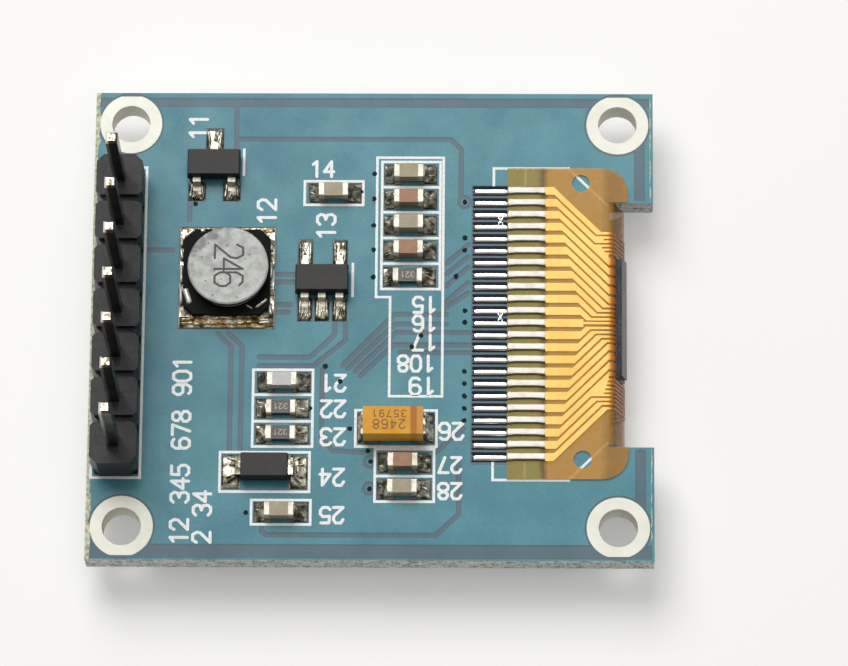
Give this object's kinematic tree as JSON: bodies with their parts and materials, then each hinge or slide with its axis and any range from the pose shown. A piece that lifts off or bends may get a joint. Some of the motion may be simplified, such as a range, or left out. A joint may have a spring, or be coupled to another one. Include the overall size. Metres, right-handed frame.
{
  "type": "small oled display module",
  "caption": "Small OLED display module: glass panel under a circuit board, with a folded film tail, a supply circuit and a pin header.",
  "frame": {"origin": "centre of the module on the plane of the display's front face, with z = 0 at that face", "axes": "+Z from the display's face up through the board, the way the header pins point; +X from the header row to the folded film tail; +Y along the header row, towards its first pin"},
  "size_m": [0.031, 0.027, 0.0127],
  "materials": {
    "solder_mask": "blue-green solder mask, satin gloss, over glass-fibre laminate",
    "bright_tin": "bright tin plating",
    "solder": "reflowed solder, bright and slightly wavy",
    "header_plastic": "black moulded plastic, satin",
    "pin_plating": "pale gold flash over brass, dull",
    "polyimide_film": "amber polyimide film, glossy",
    "gold_copper": "copper traces with an amber cover layer",
    "silicon": "bare silicon back, polished dark grey",
    "underfill_resin": "dark resin",
    "polariser": "black polarising film, glossy",
    "panel_glass": "dark display glass, polished",
    "foam": "black foam tape, matt",
    "package_plastic": "black moulding compound, fine grain",
    "black_ferrite": "black ferrite, matt",
    "grey_ferrite": "ground grey ferrite, speckled",
    "enamelled_copper": "enamelled copper wire",
    "orange_moulding": "orange moulding compound, satin",
    "khaki_ceramic": "khaki ceramic, satin",
    "brown_ceramic": "red-brown ceramic, satin",
    "grey_ceramic": "pale grey ceramic, satin",
    "white_ink": "white printed ink, satin, slightly raised",
    "resistor_glaze": "black glass glaze, glossy"
  },
  "bodies": {
    "root": {"circuit_board": "solder_mask", "mounting_lands": "bright_tin", "component_pads": "solder", "header_insulator": "header_plastic", "header_pin_1": "pin_plating", "header_pin_2": "pin_plating", "header_pin_3": "pin_plating", "header_pin_4": "pin_plating", "header_pin_5": "pin_plating", "header_pin_6": "pin_plating", "header_pin_7": "pin_plating", "header_solder_joints": "solder", "film_tail": "polyimide_film", "film_traces": "gold_copper", "film_fingers": "solder", "finger_solder_bars": "solder", "driver_chip": "silicon", "chip_underfill": "underfill_resin", "front_polariser": "polariser", "front_glass": "panel_glass", "rear_glass": "panel_glass", "foam_tape": "foam", "transistor_body": "package_plastic", "transistor_leads": "bright_tin", "regulator_body": "package_plastic", "regulator_leads": "bright_tin", "inductor_shell": "black_ferrite", "inductor_drum": "grey_ferrite", "inductor_winding": "enamelled_copper", "inductor_terminals": "bright_tin", "diode_body": "package_plastic", "diode_leads": "bright_tin", "tantalum_body": "orange_moulding", "tantalum_terminals": "bright_tin", "capacitor_1_body": "khaki_ceramic", "capacitor_1_ends": "bright_tin", "capacitor_2_body": "khaki_ceramic", "capacitor_2_ends": "bright_tin", "capacitor_3_body": "brown_ceramic", "capacitor_3_ends": "bright_tin", "capacitor_4_body": "khaki_ceramic", "capacitor_4_ends": "bright_tin", "capacitor_5_body": "brown_ceramic", "capacitor_5_ends": "bright_tin", "capacitor_6_body": "grey_ceramic", "capacitor_6_ends": "bright_tin", "capacitor_7_body": "brown_ceramic", "capacitor_7_ends": "bright_tin", "capacitor_8_body": "khaki_ceramic", "capacitor_8_ends": "bright_tin", "capacitor_9_body": "khaki_ceramic", "capacitor_9_ends": "bright_tin", "resistor_1_body": "resistor_glaze", "resistor_1_ends": "bright_tin", "resistor_2_body": "resistor_glaze", "resistor_2_ends": "bright_tin", "resistor_3_body": "resistor_glaze", "resistor_3_ends": "bright_tin", "solder_fillets": "solder", "printed_lines": "white_ink"}
  },
  "joints": []
}
